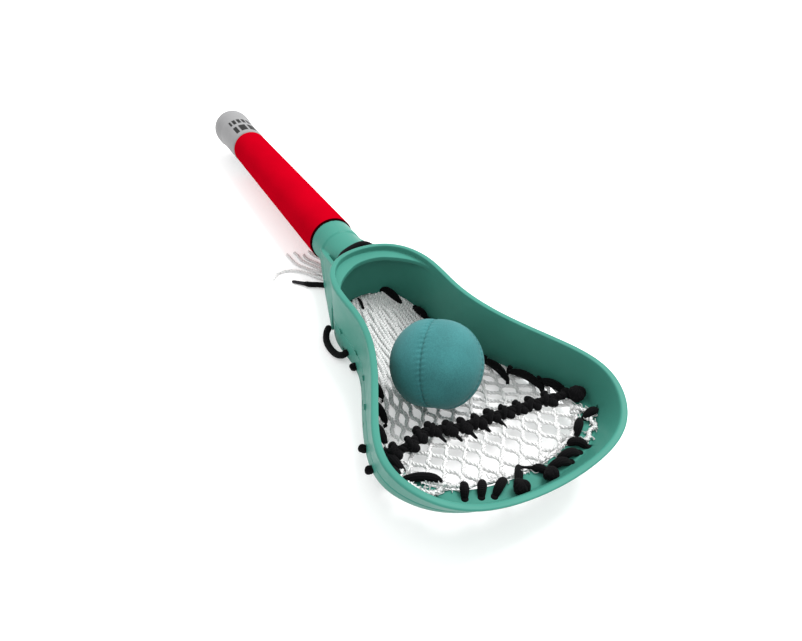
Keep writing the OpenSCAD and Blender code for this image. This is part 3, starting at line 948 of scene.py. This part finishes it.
THROAT_ROUTE = [[50, -15.5, 42.5], [46.5, -10.5, 44], [43.5, -3, 44.6], [41.5, 4, 44.2],
                [40.5, 9.7, 41.8], [41, 13, 38.4], [42, 14.8, 35.2]]


def throat_lace(material):
    shape = Shape()
    shape.tube(through(THROAT_ROUTE), 1.9, 12)
    shape.piece("neck_lace", "stick", "black_lace", material, ["throat_lace"])


def throat_tie(material):
    """Stitches that tie the net at the throat, one of them thin."""
    shape = Shape()
    add_stitch(shape, (50, 12, 11.5), (70, 19.5, 9), thick=2.7, rise=2.0)
    add_stitch(shape, (56, -6.4, 12.4), (66, -7.3, 11.4), thick=1.0, rise=1.0, dive=1.0)
    shape.piece("throat_stitches", "stick", "black_lace", material, ["throat_tie"])


# ---- Free cords -----------------------------------------------------------------------------

TAIL_ROUTE = [[54, -8.2, 5.4], [44, -8.4, 5.4], [34, -9, 4.2], [26, -10.4, 2.8], [22, -11.8, 2.2],
              [18, -14.6, 2.2], [14.5, -19, 2.2], [11, -24.5, 2.2], [8, -27.2, 2.2]]
TIP_ROUTE = [[8.2, -27, 1.9], [4, -30.6, 1.6], [0.5, -33.6, 1.4]]
LOOP_ROUTE = [[69, -33.8, 6.4], [71.5, -36.6, 5], [77, -39.2, 3.6], [84.5, -40, 3], [92, -39, 3.2],
              [96.5, -36.6, 4.8], [97, -33.8, 6.4]]
NET_END_ROUTES = [
    [[54, 4, 6.2], [44, 3.6, 6.2], [28, 2, 6], [10, 0.5, 4], [-6, -1.5, 2.2], [-18, -3.5, 1.5],
     [-26, -6.5, 1.5], [-33, -7.5, 1.5]],
    [[54, 1, 8.8], [44, 0.6, 8.8], [28, -1.5, 8.4], [10, -3.6, 5.4], [-6, -6.5, 2.4],
     [-18, -10.5, 1.5], [-24, -13, 1.5], [-30, -13, 1.5]],
    [[54, -2, 6.2], [44, -2.4, 6.2], [28, -5, 5.6], [10, -7.6, 3.6], [-6, -10.5, 2],
     [-16, -14.5, 1.5], [-24, -17.5, 1.5], [-30, -17.6, 1.5], [-37, -18.3, 1.5]],
    [[54, -4.5, 8.8], [44, -5, 8.8], [28, -8, 8], [10, -11.3, 4.6], [-4, -15, 2],
     [-12, -19, 1.5], [-20, -23, 1.5], [-30, -24.2, 1.5], [-37, -24.6, 1.5]],
    [[54, -7.6, 9.1], [44, -8, 9.1], [28, -10.8, 8.2], [18, -12.2, 5.8], [10, -14.8, 3.8],
     [2, -17.6, 2.2], [-5, -21, 1.5], [-11, -26, 1.5], [-14.5, -31, 1.5], [-15.5, -37, 1.5],
     [-13.5, -41.5, 1.5], [-9, -45, 1.5]]
]


def free_cord(shape, name, slot, material, replaced):
    piece = shape.piece(name, "stick", slot, material, replaced)


def free_cords(lace, net):
    tip = Shape()
    line = through(TIP_ROUTE)
    tip.tube(line, np.linspace(1.5, 1.15, len(line)), 12)
    shrunk = moulded_plastic("tip_plastic", (0.015, 0.014, 0.016), 0.35)
    end = tip.piece("tail_tip_shrunk", "stick", "lace_tip", shrunk, ["tail_tip"])

    tail = Shape()
    line = through(TAIL_ROUTE)
    narrow = 2.0 - 0.6 * smooth(along(line), along(line)[-1] - 2, along(line)[-1])
    tail.tube(line, narrow, 12)
    free_cord(tail, "tail", "black_lace", lace, ["throat_tail"])

    loop = Shape()
    line = through(LOOP_ROUTE)
    loop.tube(line, 2.2, 12)
    free_cord(loop, "loop", "black_lace", lace, ["side_loop"])

    for i, route in enumerate(NET_END_ROUTES):
        shape = Shape()
        line = through(route)
        shape.cord(line, 1.75 - 0.4 * smooth(along(line), 40, 75), 2, 5.0, 8, i)
        free_cord(shape, f"fringe_{i + 1}", "net_cord", net, [f"net_end_{i + 1}"])


# ---- Ball -----------------------------------------------------------------------------------

BALL_AT = (154, -4, 29.1)
BALL_R = 26.5
GORES = 4


def ball_turn():
    lean = Matrix.Rotation(math.radians(143), 3, "Z") @ Matrix.Rotation(math.radians(47), 3, "Y")
    return lean @ Matrix.Rotation(math.radians(-17), 3, "Z")


def seam_gap(angle):
    """Angle to the nearest seam, in radians."""
    step = 2 * math.pi / GORES
    return np.abs((angle + step / 2) % step - step / 2)


def ball_mesh(rings=60, segments=128):
    """The cover before it is filled, as a ball of radius 1 with its poles on Z."""
    mesh = bpy.data.meshes.new("ball")
    work = bmesh.new()
    bmesh.ops.create_uvsphere(work, u_segments=segments, v_segments=rings, radius=1)
    work.to_mesh(mesh)
    work.free()
    return mesh


def inflate(obj):
    """Cloth filled by pressure, with short seams that draw in and pucker the cover beside them."""
    co = np.array([v.co for v in obj.data.vertices])
    seams = seam_gap(np.arctan2(co[:, 1], co[:, 0])) * np.hypot(co[:, 0], co[:, 1]) < 0.035
    group = obj.vertex_groups.new(name="seam")
    group.add([int(i) for i in np.flatnonzero(seams)], 1.0, "REPLACE")
    cloth = obj.modifiers.new("cloth", "CLOTH")
    settings = cloth.settings
    settings.quality = 5
    settings.mass = 0.3
    settings.tension_stiffness = 15
    settings.compression_stiffness = 15
    settings.shear_stiffness = 7.5
    settings.bending_stiffness = 0.05
    settings.air_damping = 2
    settings.use_pressure = True
    settings.uniform_pressure_force = 10
    settings.vertex_group_shrink = "seam"
    settings.shrink_max = 0.04
    settings.effector_weights.gravity = 0
    cloth.collision_settings.use_collision = False
    for step in range(1, 26):
        bpy.context.scene.frame_set(step)
    result = applied(obj)
    bpy.context.scene.frame_set(1)
    return np.array([v.co for v in result.vertices])


def puckered(co):
    """Adds the seams' own creases, the gathers beside them and a flat place over each pole."""
    r = np.linalg.norm(co, axis=1)
    angle = np.arctan2(co[:, 1], co[:, 0])
    lat = np.arcsin(np.clip(co[:, 2] / r, -1, 1))
    gap = seam_gap(angle) * np.cos(lat) * BALL_R
    crease = -1.0 * np.exp(-(gap / 0.5) ** 2)
    stitches = np.sin(lat * BALL_R * 2 * math.pi / 3.0 + 3 * np.sin(5 * angle))
    gather = 0.3 * stitches * np.exp(-(gap / 2.4) ** 2)
    pole = -0.8 * smooth(np.abs(lat), 1.0, 1.5)
    return co * ((r + crease + gather + pole) / r)[:, None]


def ball_object(material):
    mesh = ball_mesh()
    obj = bpy.data.objects.new("ball", mesh)
    bpy.context.scene.collection.objects.link(obj)
    co = np.array([v.co for v in mesh.vertices])
    co = inflate(obj)
    obj.modifiers.clear()
    mesh.vertices.foreach_set("co", co.ravel())
    obj.modifiers.new("fine", "SUBSURF").levels = 1
    cover = applied(obj)
    bpy.data.objects.remove(obj)
    co = np.array([v.co for v in cover.vertices])
    co *= (BALL_R - 0.3) / np.linalg.norm(co, axis=1).max()
    co = puckered(co) @ np.array(ball_turn()).T + BALL_AT
    cover.vertices.foreach_set("co", placed(co).ravel())
    cover.update()
    ball = finished(cover, "ball_cover", "ball", material,
                    ["ball_panel_1", "ball_panel_2", "ball_panel_3", "ball_panel_4"])
    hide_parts("ball_filling")


# ---- CAD nodes that show --------------------------------------------------------------------

def paint(node, material):
    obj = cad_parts[node]
    obj.data.materials.clear()
    obj.data.materials.append(material)


def paint_cad_nodes():
    paint("grip_sleeve", grip_cover())
    paint("butt_cap", cap_print())
    paint("shaft_tube", moulded_plastic("tube_plastic", (0.02, 0.02, 0.02), 0.5))
    paint("head_screw", screw_metal())


# ---- Stage ----------------------------------------------------------------------------------

def make_floor():
    mesh = bpy.data.meshes.new("floor")
    mesh.from_pydata([(-4, -4, 0), (4, -4, 0), (4, 4, 0), (-4, 4, 0)], [], [(0, 1, 2, 3)])
    floor = bpy.data.objects.new("floor", mesh)
    bpy.context.scene.collection.objects.link(floor)
    material, _, _ = new_material("floor_white", (0.72, 0.72, 0.72), 0.9, Specular_IOR_Level=0.0,
                                  Emission_Color=(1, 1, 1, 1), Emission_Strength=0.3)
    mesh.materials.append(material)


def area_light(name, place, target, size, power):
    light = bpy.data.lights.new(name, "AREA")
    light.shape = "DISK"
    light.size = size
    light.energy = power
    obj = bpy.data.objects.new(name, light)
    bpy.context.scene.collection.objects.link(obj)
    obj.location = place
    obj.rotation_euler = (Vector(target) - Vector(place)).to_track_quat("-Z", "Y").to_euler()


def make_light():
    world = bpy.data.worlds.new("world")
    world.use_nodes = True
    world.node_tree.nodes["Background"].inputs["Color"].default_value = (1, 1, 1, 1)
    world.node_tree.nodes["Background"].inputs["Strength"].default_value = 1.28
    bpy.context.scene.world = world
    bpy.context.scene.view_settings.view_transform = "Standard"
    area_light("key", (-0.05, 0.8, 1.5), (0.05, 0, 0), size=0.9, power=34)
    area_light("fill", (1.3, -0.2, 1.2), (0.05, 0, 0), size=1.2, power=2)


# ---- The whole stick ------------------------------------------------------------------------

make_camera()
black = lace_black()
white = net_white()
free_cords(black, white)
head_object(moulded_plastic("head_teal", (0.041, 0.186, 0.146)))
net_object(white)
scoop_string(black)
scoop_knots(black)
side_string("sidewall_string_left", -1, LEFT_HOOKS, black)
side_string("sidewall_string_right", 1, RIGHT_HOOKS, black)
outer_knots(black)
shooting_string(black)
shooting_knot(black)
throat_lace(black)
throat_tie(black)
ball_object(ball_cloth())
paint_cad_nodes()
make_floor()
make_light()
